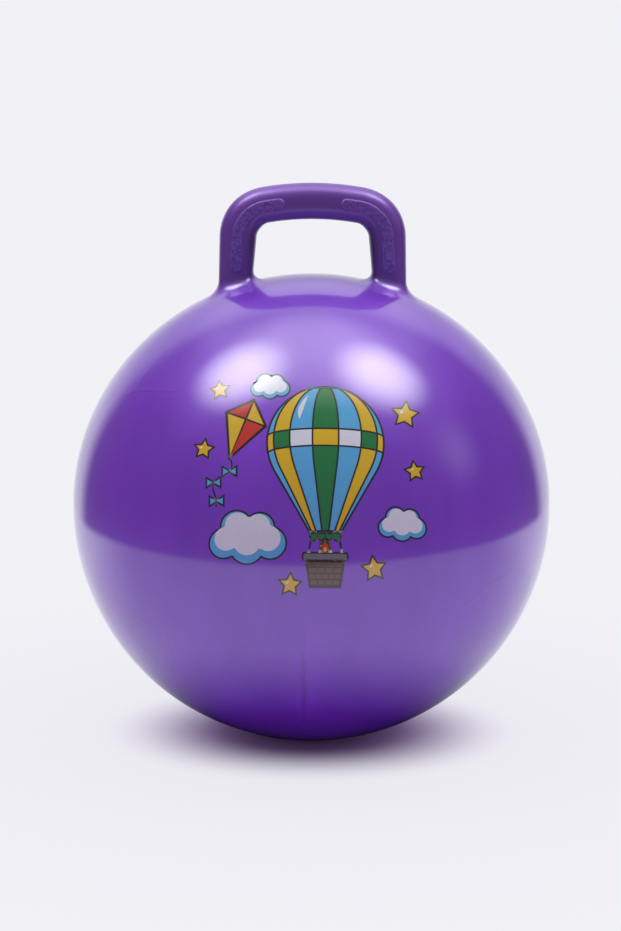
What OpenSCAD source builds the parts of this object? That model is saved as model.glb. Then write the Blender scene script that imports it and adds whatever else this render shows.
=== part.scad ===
// Hopper ball: an inflated vinyl ball with a hollow handle loop moulded on its crown,
// four raised grip pads on the loop, and an air valve with a push-in plug at the rear.
// The loop runs along X, the front of the ball faces -Y, and it stands on z = 0.

/* [Ball] */
// Width across the equator
ball_d = 450; // [350:5:650]
// Height that the crown lacks, compared with a true sphere of that width
crown_flat = 6; // [3:0.5:7.5]
// Height that the underside lacks, before its foot is pressed flat
base_flat = 3; // [1:0.5:6]
// Distance of the side arc's centre from the ball's axis
side_in = 10; // [8:0.5:16]
// Diameter of the flat that the ball's weight presses at its foot
foot_d = 60; // [48:1:90]
// Thickness of the inflated skin
skin_t = 1; // [0.6:0.1:2]

/* [Handle loop] */
// Height of the grip bar's centre-line above the crown, at mid-span
bar_rise = 68.75; // [56:0.25:90]
// Distance between the legs' centre-lines, level with the crown
leg_span = 142; // [120:1:180]
// Lean of each leg towards the middle, in degrees
leg_lean = 3; // [0:0.5:8]
// Radius of the bar's gentle arch
bar_arch_r = 260; // [200:5:500]
// Radius of the bend from leg to bar, along the centre-line
bend_r = 31; // [22:1:36]
// Thickness of the loop, seen from the front
loop_w = 33; // [26:0.5:38]
// Extra thickness to each side in the middle of a bend
bend_swell = 0.5; // [0:0.25:3]
// Extra thickness to each side at the top of a leg
leg_swell = 0.5; // [0:0.25:2]
// Depth of the loop, from its front face to its rear face
loop_depth = 34; // [26:0.5:42]
// Amount by which a leg is slimmer all round at its foot
leg_slim = 1.25; // [0:0.25:3]
// Squareness of the loop's section, where 2 is an ellipse
loop_square = 2.6; // [2:0.1:4]
// Wall of the hollow loop
loop_wall = 3; // [2:0.25:5]
// Height of the fillet where a leg runs out over the ball
root_rise = 11.5; // [8:0.5:20]
// Reach of that fillet over the ball
root_reach = 14; // [10:0.5:24]
// Thickness of the fillet's thin edge
root_edge = 0.4; // [0.3:0.1:1]
// Gap of the loop's underside over the skin that it is welded to
weld_gap = 0.1; // [0.08:0.02:0.3]

/* [Grip pads] */
// Width of a pad
pad_w = 11.5; // [8:0.5:14]
// Height of a pad above the loop's face
pad_h = 1.2; // [0.8:0.1:2]
// Distance between the ends of the left and right pads at mid-bar
pad_space = 51; // [40:1:70]
// Height of a pad's lower end above the crown
pad_foot = 2; // [1:0.5:10]
// Gap of a pad's underside over the loop's face
pad_gap = 0.1; // [0.06:0.02:0.2]

/* [Air valve] */
// Tilt of the valve's axis from the ball's axis towards the rear, in degrees
valve_tilt = 30; // [26:1:36]
// Diameter of the seat's flange on the skin
seat_d = 26; // [22:0.5:34]
// Height of the flange above the skin
seat_h = 2; // [1.6:0.1:3]
// Thickness of the flange's rim
seat_rim = 0.6; // [0.4:0.1:1]
// Diameter of the neck inside the ball
neck_d = 14; // [12.5:0.5:17]
// Length of the neck inside the ball
neck_l = 18; // [14:0.5:26]
// Diameter of the neck's bore
bore_d = 8; // [6:0.1:9]
// Diameter of the recess that takes the plug's head
recess_d = 15; // [13:0.5:18]
// Depth of that recess
recess_h = 1.2; // [0.8:0.1:1.4]
// Height of the plug's head
head_h = 1.8; // [1.5:0.1:3]
// Length of the plug's stem
stem_l = 15; // [12:0.5:20]
// Length of the stem's tapered tip
stem_taper = 3; // [2:0.5:5]
// Number of sealing ribs on the stem
stem_ribs = 4; // [2:1:6]
// Depth of the grooves between those ribs
groove_h = 0.4; // [0.2:0.1:0.8]
// Width of the softened edges of the seat and the plug
edge_soft = 0.5; // [0.2:0.1:0.8]
// Radius of the nick that lets a fingernail under the head
nick_r = 2.4; // [2:0.1:3]
// Radial clearance of the stem in its bore
stem_fit = 0.05; // [0.02:0.01:0.1]
// Clearance of the plug's head in its recess
head_fit = 0.2; // [0.1:0.05:0.4]
// Clearance of the neck in the skin's hole
neck_fit = 0.1; // [0.05:0.05:0.3]

/* [Hidden] */
$fn = 128;

vinyl = "#5c2f9c";
vinyl_dark = "#4a2d7c";
grip_vinyl = "#43296f";
valve_white = "#f1eff4";

// Ball outline: crown, side and base arcs that meet tangentially
side_r = ball_d / 2 - side_in;
function axis_drop(flat) = let (rest = side_in - flat) (side_in ^ 2 - rest ^ 2) / (2 * rest);
crown_drop = axis_drop(crown_flat);
base_drop = axis_drop(base_flat);
crown_r = ball_d / 2 - crown_flat + crown_drop;
base_r = ball_d / 2 - base_flat + base_drop;
equator_z = sqrt(base_r ^ 2 - (foot_d / 2) ^ 2) - base_drop;
crown_c = [0, 0, equator_z - crown_drop];
crown_z = crown_c.z + crown_r;

// Loop centre-line: leaning legs, a bend at each shoulder and an arched bar.
// A station on it is named by the direction of its outward normal, 90 at mid-bar.
bar_c = [0, 0, crown_z + bar_rise - bar_arch_r];
foot_x = leg_span / 2;
bar_half = asin(
  (foot_x * cos(leg_lean) - bend_r - (bar_rise - bar_arch_r) * sin(leg_lean)) / (bar_arch_r - bend_r)
) - leg_lean;
bend_c = bar_c + (bar_arch_r - bend_r) * out(90 - bar_half);
loop_sides = 36;
bend_steps = 8;
bar_steps = 7;
root_steps = 7;

function out(a) = [cos(a), 0, sin(a)];
function flip_x(p) = [-p.x, p.y, p.z];
function loop_point(a) =
  a > 90 ? flip_x(loop_point(180 - a))
  : a < 90 - bar_half ? bend_c + bend_r * out(a)
  : bar_c + bar_arch_r * out(a);

// Section of the loop, a rounded oblong that swells a little in the bends
function soft_power(x, p) = sign(x) * abs(x) ^ p;
function way_round_bend(a) = min((min(a, 180 - a) - leg_lean) / (90 - bar_half - leg_lean), 1);
function half_width(a) = let (way = way_round_bend(a))
  loop_w / 2 + leg_swell * cos(90 * way) ^ 2 + bend_swell * sin(180 * way) ^ 2;
function half_depth(a, u, slim) =
  (loop_depth / 2 - slim) * (1 - abs(u / (half_width(a) - slim)) ^ loop_square) ^ (1 / loop_square);

// Ring of the loop at a station of the bend or the bar, grown by one amount all round
function loop_ring(a, grow) = [
  for (i = [0:loop_sides - 1])
    let (
      t = 360 * i / loop_sides,
      u = (half_width(a) + grow) * soft_power(cos(t), 2 / loop_square),
      v = (loop_depth / 2 + grow) * soft_power(sin(t), 2 / loop_square)
    )
      loop_point(a) + u * out(a) + [0, v, 0]
];

// Ring of a leg that follows the ball, at a height above the skin, with side 1 or -1
function leg_station(side) = side > 0 ? leg_lean : 180 - leg_lean;
function leg_up(side) = let (a = leg_station(side)) side * [-sin(a), 0, cos(a)];
function way_to_ball(q, up) =
  let (d = q - crown_c, along = d * up) sqrt(along ^ 2 - d * d + (crown_r + weld_gap) ^ 2) - along;
function root_ring(side, grow, lift) =
  let (up = leg_up(side))
    [for (q = loop_ring(leg_station(side), grow)) q + (way_to_ball(q, up) + lift) * up];
function fillet_ring(side, t) =
  root_ring(
    side,
    root_reach * (1 - cos(90 * t)) - leg_slim,
    root_edge + (root_rise - root_edge) * (1 - sin(90 * t))
  );
function between(r, s, k) = [for (i = [0:len(r) - 1]) (1 - k) * r[i] + k * s[i]];

// Stations from the right leg to the left one
bend_stations = [
  for (i = [0:bend_steps - 1]) leg_lean + i * (90 - bar_half - leg_lean) / bend_steps
];
bar_stations = [for (i = [0:bar_steps]) 90 - bar_half + i * 2 * bar_half / bar_steps];
loop_stations = concat(
  bend_stations, bar_stations,
  [for (i = [bend_steps - 1:-1:0]) 180 - bend_stations[i]]
);

// Half of one closed run of rings: out of the hollow leg, under its edge and up the fillet.
// The run goes along the outside from right to left, and back through the hollow.
function leg_rings(side) =
  let (
    rim = root_ring(side, -leg_slim - loop_wall, 0),
    hollow = loop_ring(leg_station(side), -loop_wall),
    neck = fillet_ring(side, 0),
    shoulder = loop_ring(leg_station(side), 0)
  )
    concat(
      [between(hollow, rim, 0.5), rim],
      [for (k = [0:3]) root_ring(side, root_reach * k / 3 - leg_slim, 0)],
      [for (i = [root_steps:-1:0]) fillet_ring(side, i / root_steps)],
      [between(neck, shoulder, 0.5)]
    );
function backwards(list) = [for (i = [len(list) - 1:-1:0]) list[i]];
function joined(list) = [for (part = list) each part];

// Skin of a closed run of rings, each with the same number of points
module closed_run(rings) {
  n = len(rings);
  m = len(rings[0]);
  polyhedron(
    points = joined(rings),
    faces = [
      for (i = [0:n - 1], j = [0:m - 1], half = [0, 1])
        let (
          a = i * m + j,
          b = i * m + (j + 1) % m,
          c = (i + 1) % n * m + (j + 1) % m,
          d = (i + 1) % n * m + j
        )
          half == 0 ? [a, c, b] : [a, d, c]
    ]
  );
}

// Skin of an open run of rings with flat ends
module capped_run(rings) {
  n = len(rings);
  m = len(rings[0]);
  polyhedron(
    points = joined(rings),
    faces = concat(
      [
        for (i = [0:n - 2], j = [0:m - 1], half = [0, 1])
          let (a = i * m + j, b = i * m + (j + 1) % m, c = b + m, d = a + m)
            half == 0 ? [a, b, c] : [a, c, d]
      ],
      [[for (j = [m - 1:-1:0]) j], [for (j = [0:m - 1]) (n - 1) * m + j]]
    )
  );
}

// Valve sizes that follow from its fits
skin_bow = function(r) sqrt(crown_r ^ 2 - r ^ 2) - crown_r;
seat_r = seat_d / 2;
neck_r = neck_d / 2;
bore_r = bore_d / 2;
recess_r = recess_d / 2;
recess_z = seat_h - recess_h;
stem_r = bore_r - stem_fit;
head_r = recess_r - head_fit;
head_z = recess_z + stem_fit;

module at_valve() {
  translate(crown_c) rotate([-valve_tilt, 0, 0]) translate([0, 0, crown_r]) children();
}

module at_leg(side) {
  translate(loop_point(leg_station(side))) rotate([0, -side * leg_lean, 0]) children();
}

// Half of the ball's section, a given depth below its surface
module ball_half(depth) {
  reach = ball_d;
  crown_x = (crown_r - depth) * side_in / sqrt(side_in ^ 2 + crown_drop ^ 2);
  base_x = (base_r - depth) * side_in / sqrt(side_in ^ 2 + base_drop ^ 2);
  intersection() {
    translate([0, crown_c.z]) circle(crown_r - depth);
    translate([0, equator_z]) square([crown_x, reach]);
  }
  intersection() {
    translate([0, equator_z + base_drop]) circle(base_r - depth);
    translate([0, depth]) square([base_x, equator_z - depth]);
  }
  intersection() {
    translate([side_in, equator_z]) circle(side_r - depth);
    union() {
      translate([crown_x, equator_z]) square(reach);
      translate([base_x, equator_z - reach]) square(reach);
    }
  }
}

module ball_skin() {
  color(vinyl) difference() {
    rotate_extrude() difference() {
      ball_half(0);
      ball_half(skin_t);
    }
    for (side = [-1, 1])
      at_leg(side) mirror([0, 0, 1]) cylinder(h = 2 * bar_rise, r = loop_w / 2 - leg_slim - loop_wall);
    at_valve() translate([0, 0, -neck_l]) cylinder(h = 2 * neck_l, r = neck_r + neck_fit);
  }
}

module handle_loop() {
  color(vinyl_dark) closed_run(concat(
    leg_rings(1),
    [for (a = loop_stations) loop_ring(a, 0)],
    backwards(leg_rings(-1)),
    [for (a = backwards(loop_stations)) loop_ring(a, -loop_wall)]
  ));
}

// One pad, on the front of the right shoulder, from the leg round the bend to the bar
pad_outline = [
  [-1, 0], [-0.5, 0], [0, 0], [0.5, 0], [1, 0],
  [1, 0.5], [0.94, 0.85], [0.82, 1], [0.4, 1], [0, 1], [-0.4, 1], [-0.82, 1], [-0.94, 0.85], [-1, 0.5]
];
pad_end_angles = [25, 50, 75];

// Run of a leg's front face from the bend down to the fillet, off to one side by u
function leg_face_run(u) =
  let (face = loop_point(leg_lean) + u * out(leg_lean) - [0, loop_depth / 2 - leg_slim, 0])
    -way_to_ball(face, leg_up(1)) - root_rise;

function pad_ring(a, half_w, below = 0) = [
  for (p = pad_outline)
    let (
      u = p[0] * half_w,
      v = half_depth(a, u, leg_slim * below / leg_face_run(u)) + pad_gap + p[1] * pad_h
    )
      loop_point(a) + u * out(a) - below * leg_up(1) - [0, v, 0]
];

module grip_pad() {
  end_r = pad_w / 2;
  leg_run = (loop_point(leg_lean).z - crown_z - pad_foot) / cos(leg_lean);
  end_station = acos(pad_space / 2 / bar_arch_r);
  end_turn = end_r / bar_arch_r * 180 / PI;
  full_from = 90 - bar_half;
  full_to = end_station - end_turn;
  leg_ends = [for (t = pad_end_angles) [leg_run - end_r * (1 - cos(t)), end_r * sin(t)]];
  leg_full = [for (k = [0:2]) [(leg_run - end_r) * (1 - k / 3), end_r]];
  bar_full = [for (k = [0:2]) [full_from + (full_to - full_from) * k / 2, end_r]];
  bar_ends = [for (t = backwards(pad_end_angles)) [end_station - end_turn * (1 - cos(t)), end_r * sin(t)]];
  capped_run(concat(
    [for (s = concat(leg_ends, leg_full)) pad_ring(leg_lean, s[1], below = s[0])],
    [for (a = bend_stations) pad_ring(a, end_r)],
    [for (s = concat(bar_full, bar_ends)) pad_ring(s[0], s[1])]
  ));
}

module front_left_grip() {
  color(grip_vinyl) mirror([1, 0, 0]) grip_pad();
}

module front_right_grip() {
  color(grip_vinyl) grip_pad();
}

module rear_left_grip() {
  color(grip_vinyl) mirror([1, 0, 0]) mirror([0, 1, 0]) grip_pad();
}

module rear_right_grip() {
  color(grip_vinyl) mirror([0, 1, 0]) grip_pad();
}

module valve_seat() {
  color(vinyl) at_valve() difference() {
    rotate_extrude() polygon([
      [bore_r, -neck_l],
      [neck_r - edge_soft, -neck_l],
      [neck_r, edge_soft - neck_l],
      [neck_r, skin_bow(neck_r) + weld_gap],
      [seat_r, skin_bow(seat_r) + weld_gap],
      [seat_r, skin_bow(seat_r) + weld_gap + seat_rim],
      [recess_r + edge_soft, seat_h],
      [recess_r, seat_h],
      [recess_r, recess_z],
      [bore_r, recess_z]
    ]);
    translate([0, recess_r + nick_r / 2, seat_h + nick_r / 2]) sphere(nick_r);
  }
}

module valve_plug() {
  rib_pitch = (stem_l - stem_taper) / stem_ribs;
  color(valve_white) at_valve() translate([0, 0, head_z]) difference() {
    rotate_extrude() polygon([
      [0, -stem_l],
      [stem_r - 2 * groove_h, -stem_l],
      [stem_r, stem_taper - stem_l],
      [stem_r, 0],
      [head_r, 0],
      [head_r, head_h - edge_soft],
      [head_r - edge_soft, head_h],
      [0, head_h]
    ]);
    for (i = [1:stem_ribs - 1])
      translate([0, 0, -i * rib_pitch]) rotate_extrude()
        translate([stem_r - groove_h, -groove_h]) square([2 * groove_h, 2 * groove_h]);
  }
}

ball_skin();
handle_loop();
front_left_grip();
front_right_grip();
rear_left_grip();
rear_right_grip();
valve_seat();
valve_plug();
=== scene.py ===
import math
import random

import bpy
from mathutils import Matrix, Vector, noise


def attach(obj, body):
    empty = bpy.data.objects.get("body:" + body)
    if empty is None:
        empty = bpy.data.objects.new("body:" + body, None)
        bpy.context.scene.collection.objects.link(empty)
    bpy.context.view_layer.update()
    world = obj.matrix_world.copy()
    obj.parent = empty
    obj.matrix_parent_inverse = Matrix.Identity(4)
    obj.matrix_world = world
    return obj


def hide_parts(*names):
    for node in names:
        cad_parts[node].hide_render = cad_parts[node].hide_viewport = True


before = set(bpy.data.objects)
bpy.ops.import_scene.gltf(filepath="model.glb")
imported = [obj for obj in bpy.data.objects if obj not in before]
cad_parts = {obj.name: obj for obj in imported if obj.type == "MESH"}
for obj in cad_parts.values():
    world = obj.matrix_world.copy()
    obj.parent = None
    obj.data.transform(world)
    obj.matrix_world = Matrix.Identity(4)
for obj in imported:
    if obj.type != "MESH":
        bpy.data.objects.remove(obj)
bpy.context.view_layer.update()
mm = 0.001
print("frame loaded:", len(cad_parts), "CAD nodes")


# Modelling helpers

def deselectAll():
    if bpy.context.object and bpy.context.object.mode != "OBJECT":
        bpy.ops.object.mode_set(mode="OBJECT")
    bpy.ops.object.select_all(action="DESELECT")


def pick(obj):  # the only selected object
    deselectAll()
    obj.select_set(True)
    bpy.context.view_layer.objects.active = obj


def openMesh(obj):  # edit mode, with everything selected
    pick(obj)
    bpy.ops.object.mode_set(mode="EDIT")
    bpy.ops.mesh.select_all(action="SELECT")


def closeMesh():
    bpy.ops.object.mode_set(mode="OBJECT")


def newest(name):
    obj = bpy.context.object
    obj.name = obj.data.name = name
    return obj


def mergeAndFaceOut(obj, merge=0.002 * mm):
    openMesh(obj)
    bpy.ops.mesh.remove_doubles(threshold=merge)
    bpy.ops.mesh.normals_make_consistent(inside=False)
    closeMesh()


def applyModifier(obj, kind, **settings):
    pick(obj)
    modifier = obj.modifiers.new(kind.title(), kind)
    for key, value in settings.items():
        setattr(modifier, key, value)
    bpy.ops.object.modifier_apply(modifier=modifier.name)


def shadeSmooth(obj, angle=35):
    pick(obj)
    bpy.ops.object.shade_smooth_by_angle(angle=math.radians(angle))


def finishPiece(obj, material, node=None, body="ball"):
    obj.data.materials.clear()
    obj.data.materials.append(material)
    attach(obj, body)
    if node:
        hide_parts(node)
    return obj


def rollGrid(name, along, around, place):  # a grid whose points go where place(along, around) says
    deselectAll()
    bpy.ops.mesh.primitive_grid_add(x_subdivisions=along, y_subdivisions=around, size=1)
    obj = newest(name)
    for v in obj.data.vertices:
        v.co = place(round((v.co.x + 0.5) * along), round((v.co.y + 0.5) * around))
    mergeAndFaceOut(obj)
    return obj


# Angles are in degrees

def sind(a):
    return math.sin(math.radians(a))


def cosd(a):
    return math.cos(math.radians(a))


def softStep(x, low, high):
    t = min(max((x - low) / (high - low), 0), 1)
    return t * t * (3 - 2 * t)


# Materials

def srgb(r, g, b):
    def linear(c):
        c /= 255
        return c / 12.92 if c <= 0.04045 else ((c + 0.055) / 1.055) ** 2.4
    return linear(r), linear(g), linear(b), 1


def newMaterial(name):
    material = bpy.data.materials.new(name)
    material.use_nodes = True
    return material, material.node_tree


def feed(tree, socket, value):  # links another node's socket, or sets a fixed value
    if isinstance(value, bpy.types.NodeSocket):
        tree.links.new(value, socket)
    else:
        socket.default_value = value


def feedNamed(tree, node, inputs):
    for key, value in inputs.items():
        feed(tree, node.inputs[key.replace("_", " ")], value)


def addNode(tree, kind, settings=None, **inputs):
    node = tree.nodes.new(kind)
    for key, value in (settings or {}).items():
        setattr(node, key, value)
    feedNamed(tree, node, inputs)
    return node


def setShader(tree, **inputs):
    feedNamed(tree, tree.nodes["Principled BSDF"], inputs)


def objectPlace(tree):
    return addNode(tree, "ShaderNodeTexCoord").outputs["Object"]


def noiseOn(tree, source, scale, detail=3):
    return addNode(tree, "ShaderNodeTexNoise", Vector=source, Scale=scale, Detail=detail).outputs["Fac"]


def ranged(tree, source, fromLow, fromHigh, toLow=0, toHigh=1, soft=False):
    node = addNode(
        tree, "ShaderNodeMapRange", {"interpolation_type": "SMOOTHSTEP" if soft else "LINEAR"},
        Value=source, From_Min=fromLow, From_Max=fromHigh, To_Min=toLow, To_Max=toHigh,
    )
    return node.outputs["Result"]


def blendColours(tree, factor, low, high, how="MIX"):
    mix = addNode(tree, "ShaderNodeMix", {"data_type": "RGBA", "blend_type": how})
    for index, value in ((0, factor), (6, low), (7, high)):  # the colour sockets of this node
        feed(tree, mix.inputs[index], value)
    return mix.outputs[2]


def calculate(tree, operation, a, b=0):
    node = addNode(tree, "ShaderNodeMath", {"operation": operation})
    feed(tree, node.inputs[0], a)
    feed(tree, node.inputs[1], b)
    return node.outputs[0]


def onVectors(tree, operation, a, b=(0, 0, 0)):
    node = addNode(tree, "ShaderNodeVectorMath", {"operation": operation})
    feed(tree, node.inputs[0], a)
    feed(tree, node.inputs[1], b)
    return node.outputs["Value" if operation in ("DISTANCE", "DOT_PRODUCT", "LENGTH") else "Vector"]


def bumpFrom(tree, height, distance, strength=1, before=None):
    bump = addNode(tree, "ShaderNodeBump", Height=height, Strength=strength, Distance=distance)
    if before:
        feed(tree, bump.inputs["Normal"], before)
    return bump.outputs["Normal"]


noiseSpan = (0.3, 0.7)       # nearly all of a noise lies between these
narrowSpan = (0.35, 0.65)    # and these give it more contrast


# Pearly vinyl of the ball, with faint packing creases and the mould's parting line
skinFinish = {
    "deep": srgb(114, 37, 202),
    "light": srgb(131, 48, 220),
    "pearl": 0.08,               # share of pearl pigment
    "gloss": 0.6,
    "ior": 1.7,
    "rough": (0.38, 0.46),
    "smearScale": 26,
    "coat": 1.0,
    "coatRough": 0.09,
    "coatIor": 2.0,
    "cloudScale": 9,             # cloudiness, drawn out into slanting streaks
    "streakTurn": 0.7,
    "streaks": (1.8, 1, 0.45),
    "creaseScale": 5.5,
    "creaseHeight": 0.2 * mm,
    "creaseWidth": 0.012,        # in cells between the creases
    "creaseDrift": 0.06,         # how far they wander
    "driftScale": 9,
    "patchScale": 11,            # they show in patches only
    "patchSpan": (0.5, 0.62),
    "foldHeight": 1.5 * mm,      # one long packing fold down the front
    "foldWidth": 2 * mm,
    "foldX": -7 * mm,
    "foldZ": (0.044, 0.066, 0.142, 0.173),
    "foldWaver": 6 * mm,
    "waverScale": 38,
    "partingWidth": 0.7 * mm,
    "partingHeight": 0.12 * mm,
    "grainScale": 700,
    "grainHeight": 0.02 * mm,
    "grainStrength": 0.5,
}
loopFinish = {
    **skinFinish,
    "deep": srgb(112, 58, 176),
    "light": srgb(121, 65, 185),
    "pearl": 0.35,
    "gloss": 0.9,
    "rough": (0.42, 0.5),
    "coat": 0.3,
    "coatRough": 0.12,
    "creaseHeight": 0,
    "foldHeight": 0,
    "root": (2 * mm, 9 * mm),        # over this height it runs into the ball's finish
    "openingUp": 33 * mm,            # middle of the hand opening, above the crown
    "paintedShadeFacing": (-0.15, 0.45, 1, 0.5),  # painted shade: its colour is darker on the side that faces the opening
}


# Painted shade: multiplies the loop's colour darker on its side that faces the hand opening, under the bar
# and inside the legs
def paintShadeFacingOpening(tree, place, finish, colour):
    toOpening = onVectors(tree, "SUBTRACT", (0, 0, crownZ + finish["openingUp"]), place)
    normal = addNode(tree, "ShaderNodeNewGeometry").outputs["Normal"]
    facing = onVectors(tree, "DOT_PRODUCT", onVectors(tree, "NORMALIZE", toOpening), normal)
    return blendColours(tree, 1, colour, ranged(tree, facing, *finish["paintedShadeFacing"]), "MULTIPLY")


def creaseBump(tree, place, finish):
    drift = addNode(tree, "ShaderNodeTexNoise", Vector=place, Scale=finish["driftScale"], Detail=2)
    wander = addNode(tree, "ShaderNodeVectorMath", {"operation": "MULTIPLY_ADD"})
    for socket, value in zip(wander.inputs, (drift.outputs["Color"], (finish["creaseDrift"],) * 3, place)):
        feed(tree, socket, value)
    cells = addNode(
        tree, "ShaderNodeTexVoronoi", {"feature": "DISTANCE_TO_EDGE"},
        Vector=wander.outputs[0], Scale=finish["creaseScale"],
    )
    crease = ranged(tree, cells.outputs["Distance"], 0, finish["creaseWidth"], 1, 0)
    patch = ranged(tree, noiseOn(tree, place, finish["patchScale"], 2), *finish["patchSpan"])
    return bumpFrom(tree, calculate(tree, "MULTIPLY", crease, patch), finish["creaseHeight"])


def foldBump(tree, place, axes, finish, before):
    upright = addNode(tree, "ShaderNodeMapping", Vector=place, Scale=(0, 0, 1)).outputs[0]
    side = finish["foldWaver"]
    waver = ranged(tree, noiseOn(tree, upright, finish["waverScale"]), 0, 1, -side, side)
    aside = calculate(tree, "SUBTRACT", calculate(tree, "SUBTRACT", axes["X"], finish["foldX"]), waver)
    fold = ranged(tree, calculate(tree, "ABSOLUTE", aside), 0, finish["foldWidth"], 1, 0)
    low, lowIn, highIn, high = finish["foldZ"]
    masks = [ranged(tree, axes["Z"], start, end) for start, end in ((low, lowIn), (high, highIn))]
    for mask in (*masks, calculate(tree, "LESS_THAN", axes["Y"], 0)):  # on the front only
        fold = calculate(tree, "MULTIPLY", fold, mask)
    return bumpFrom(tree, fold, finish["foldHeight"], before=before)


def vinylNormal(tree, place, finish):
    normal = creaseBump(tree, place, finish)
    axes = addNode(tree, "ShaderNodeSeparateXYZ", Vector=place).outputs
    if finish["foldHeight"]:
        normal = foldBump(tree, place, axes, finish, normal)
    parting = ranged(tree, calculate(tree, "ABSOLUTE", axes["Y"]), 0, finish["partingWidth"], 1, 0)
    normal = bumpFrom(tree, parting, finish["partingHeight"], before=normal)
    grain = noiseOn(tree, place, finish["grainScale"], 2)
    return bumpFrom(tree, grain, finish["grainHeight"], finish["grainStrength"], normal)


def makeVinyl(name, finish):
    material, tree = newMaterial(name)
    place = objectPlace(tree)
    turn = (0, finish["streakTurn"], 0)
    drawn = addNode(tree, "ShaderNodeMapping", Vector=place, Rotation=turn, Scale=finish["streaks"])
    cloudy = ranged(tree, noiseOn(tree, drawn.outputs[0], finish["cloudScale"], 4), *noiseSpan)
    colour = blendColours(tree, cloudy, finish["deep"], finish["light"])
    smear = noiseOn(tree, place, finish["smearScale"], 5)
    setShader(
        tree, Metallic=finish["pearl"], Roughness=ranged(tree, smear, *noiseSpan, *finish["rough"]),
        Normal=vinylNormal(tree, place, finish), Specular_IOR_Level=finish["gloss"], IOR=finish["ior"],
        Coat_Weight=finish["coat"], Coat_Roughness=finish["coatRough"], Coat_IOR=finish["coatIor"],
    )
    if "root" in finish:
        fromMiddle = onVectors(tree, "DISTANCE", place, crownMid)
        up = ranged(tree, fromMiddle, *(crownR + height for height in finish["root"]), soft=True)
        skinColour = blendColours(tree, cloudy, skinFinish["deep"], skinFinish["light"])
        # the loop's colour carries painted shade on the side towards the opening
        colour = blendColours(tree, up, skinColour, paintShadeFacingOpening(tree, place, finish, colour))
        pearl, coat = (ranged(tree, up, 0, 1, skinFinish[key], finish[key]) for key in ("pearl", "coat"))
        setShader(tree, Metallic=pearl, Coat_Weight=coat)
    setShader(tree, Base_Color=colour)
    return material


skinVinyl = makeVinyl("pearlVinyl", skinFinish)
print("ball vinyl ready")


# Ball: one outline of three arcs, spun round the upright axis

ball = {
    "width": 450 * mm,
    "crownFlat": 6 * mm,           # crown and base sit lower than on a true sphere
    "baseFlat": 3 * mm,
    "sideIn": 10 * mm,             # side arc's centre, out from the axis
    "footWidth": 60 * mm,
    "footRings": (0.66, 0.33, 0),  # in shares of its radius
    "outlineSteps": 130,
    "turnSteps": 300,
    "ripple": 0.3 * mm,            # slack in the skin
    "rippleScale": 9,
    "rippleFoot": (0.004, 0.05),   # it grows over these heights
    "rippleTop": (0.28, 0.36),     # and ends below the loop, which is welded on
}


def axisDrop(flat):
    rest = ball["sideIn"] - flat
    return (ball["sideIn"] ** 2 - rest ** 2) / (2 * rest)


sideR = ball["width"] / 2 - ball["sideIn"]
crownDrop, baseDrop = axisDrop(ball["crownFlat"]), axisDrop(ball["baseFlat"])
crownR = ball["width"] / 2 - ball["crownFlat"] + crownDrop
baseR = ball["width"] / 2 - ball["baseFlat"] + baseDrop
equatorZ = math.sqrt(baseR ** 2 - (ball["footWidth"] / 2) ** 2) - baseDrop
crownMid = Vector((0, 0, equatorZ - crownDrop))
crownZ = crownMid.z + crownR
crownJoin = math.degrees(math.atan2(crownDrop, ball["sideIn"]))
baseJoin = -math.degrees(math.atan2(baseDrop, ball["sideIn"]))
footTilt = -math.degrees(math.acos(ball["footWidth"] / 2 / baseR))


def skinPoint(tilt):  # where the skin's normal rises at this angle
    if tilt > crownJoin:
        x, z, r = 0, crownMid.z, crownR
    elif tilt > baseJoin:
        x, z, r = ball["sideIn"], equatorZ, sideR
    else:
        x, z, r = 0, equatorZ + baseDrop, baseR
    return Vector((x + r * cosd(tilt), 0, z + r * sind(tilt)))


def drawLine(name, points):  # one vertex, extruded from point to point
    deselectAll()
    bpy.ops.mesh.primitive_plane_add(size=mm)
    obj = newest(name)
    openMesh(obj)
    bpy.ops.mesh.merge(type="CENTER")
    bpy.ops.transform.translate(value=points[0])
    for here, there in zip(points, points[1:]):
        bpy.ops.mesh.extrude_vertices_move(TRANSFORM_OT_translate={"value": there - here})
    return obj


def pushOut(obj, amount):  # moves each point along its normal
    normals = [v.normal.copy() for v in obj.data.vertices]
    for v, normal in zip(obj.data.vertices, normals):
        v.co += normal * amount(v.co)


def slackAt(p):
    fade = softStep(p.z, *ball["rippleFoot"]) * (1 - softStep(p.z, *ball["rippleTop"]))
    return noise.noise(p * ball["rippleScale"]) * ball["ripple"] * fade


def makeBall():
    steps = ball["outlineSteps"]
    outline = [skinPoint(90 + (footTilt - 90) * i / steps) for i in range(steps + 1)]
    outline[0].x = 0
    foot = Vector((ball["footWidth"] / 2, 0, 0))
    outline += [foot * k for k in ball["footRings"]]
    obj = drawLine("ballSkin", outline)
    bpy.ops.mesh.select_all(action="SELECT")
    bpy.ops.mesh.spin(steps=ball["turnSteps"], angle=math.tau, center=(0, 0, 0), axis=(0, 0, 1))
    closeMesh()
    mergeAndFaceOut(obj)
    pushOut(obj, slackAt)
    return obj


valve = {
    "tilt": 30,                # behind the crown
    "neckR": 7 * mm,
    "neckFit": 0.1 * mm,
    "neckLength": 18 * mm,
    "wellSpare": 4 * mm,
    "wellSides": 64,
}


def boreValveWell(obj):  # a blind well that takes the valve's neck
    out = Vector((0, sind(valve["tilt"]), cosd(valve["tilt"])))
    length = 2 * (valve["neckLength"] + valve["wellSpare"])
    deselectAll()
    bpy.ops.mesh.primitive_cylinder_add(
        vertices=valve["wellSides"], radius=valve["neckR"] + valve["neckFit"], depth=length,
        location=crownMid + out * crownR, rotation=(-math.radians(valve["tilt"]), 0, 0),
    )
    drill = newest("valveDrill")
    applyModifier(obj, "BOOLEAN", operation="DIFFERENCE", object=drill, solver="EXACT")
    bpy.data.objects.remove(drill)


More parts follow.
